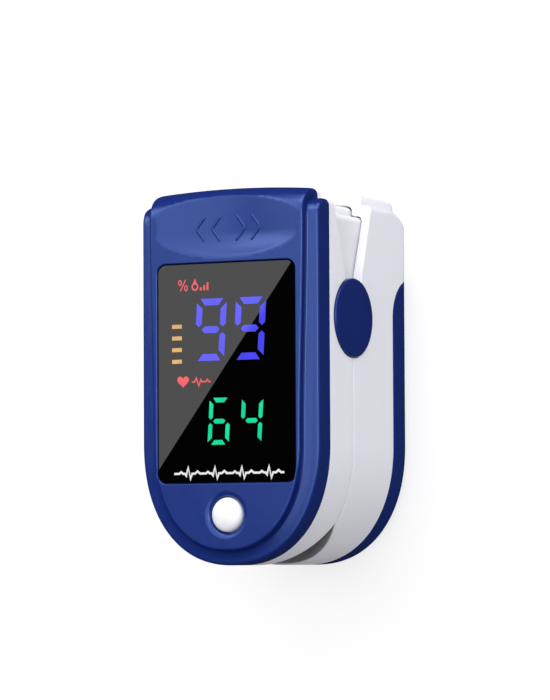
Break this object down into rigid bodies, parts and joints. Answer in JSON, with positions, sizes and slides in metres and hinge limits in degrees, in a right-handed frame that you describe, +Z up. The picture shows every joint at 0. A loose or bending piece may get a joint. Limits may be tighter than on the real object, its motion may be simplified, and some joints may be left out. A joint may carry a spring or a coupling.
{
  "type": "fingertip pulse oximeter",
  "caption": "Battery fingertip pulse oximeter: two sprung jaws with padded finger channel, lit digit display on top, round power button and slide-off battery door.",
  "frame": {"origin": "on the surface it stands on, in the middle of the body's width and length", "axes": "+Z up with the display on top; Y along the length, with the finger going in at -Y and the thumb grip at +Y; X across, along the hinge pin"},
  "size_m": [0.0322, 0.0582, 0.033],
  "materials": {
    "white_abs": "satin, injection moulded",
    "blue_abs": "satin, injection moulded",
    "inner_abs": "plain moulded",
    "soft_pad": "matte silicone",
    "lens": "polished",
    "black_part": "moulded package",
    "sensor_dark": "polished",
    "board": "solder mask",
    "cell_jacket": "printed jacket over the can",
    "contact_steel": "nickel plated",
    "spring_steel": "drawn wire",
    "screw_steel": "zinc plated",
    "flex": "polyimide film",
    "window_black": "polished, black printed underneath",
    "digits_blue": "lit",
    "digits_green": "lit",
    "bars_amber": "lit",
    "module_dark": "moulded housing",
    "emitter": "clear resin",
    "tape": "double-sided foam tape",
    "switch_body": "pressed cover",
    "switch_red": "moulded"
  },
  "bodies": {
    "lower_jaw": {"lower_shell": "white_abs", "battery_tray": "inner_abs", "lower_frame": "inner_abs", "lower_pad": "soft_pad", "lower_lens": "lens", "photodiode": "sensor_dark", "sensor_board": "board", "cell_left": "cell_jacket", "cell_right": "cell_jacket", "positive_plate": "contact_steel", "negative_spring": "contact_steel", "link_plate": "contact_steel", "hinge_pin": "spring_steel", "torsion_spring_left": "spring_steel", "torsion_spring_right": "spring_steel", "pivot_cap_left": "blue_abs", "pivot_cap_right": "blue_abs", "tray_screws": "screw_steel", "jaw_ribbon": "flex"},
    "upper_jaw": {"top_cover": "blue_abs", "window_tape": "tape", "display_window": "window_black", "spo2_digits": "digits_blue", "pulse_digits": "digits_green", "signal_bars": "bars_amber", "display_module": "module_dark", "main_board": "board", "board_chips": "black_part", "power_switch": "switch_body", "upper_shell": "white_abs", "upper_frame": "inner_abs", "upper_pad": "soft_pad", "upper_lens": "lens", "emitter_led": "emitter", "cover_screws": "screw_steel"},
    "button": {"power_button": "white_abs", "switch_plunger": "switch_red"},
    "door": {"battery_door": "blue_abs"}
  },
  "joints": [
    {"name": "jaw_hinge", "type": "hinge", "parent": "lower_jaw", "child": "upper_jaw", "pos_m": [0, 0.009, 0.0198], "axis": [-1, 0, 0], "range_deg": [0, 20], "stiffness_Nm_per_rad": 0.15, "springref_deg": -17.19, "deforming": ["torsion_spring_left", "torsion_spring_right", "jaw_ribbon"]},
    {"name": "power_button_press", "type": "slide", "parent": "upper_jaw", "child": "button", "axis": [0, 0, -1], "range_m": [0, 0.0003], "stiffness_N_per_m": 1000, "springref_m": -0.0003},
    {"name": "battery_door_slide", "type": "slide", "parent": "lower_jaw", "child": "door", "axis": [0, -1, 0], "range_m": [0, 0.048]}
  ]
}
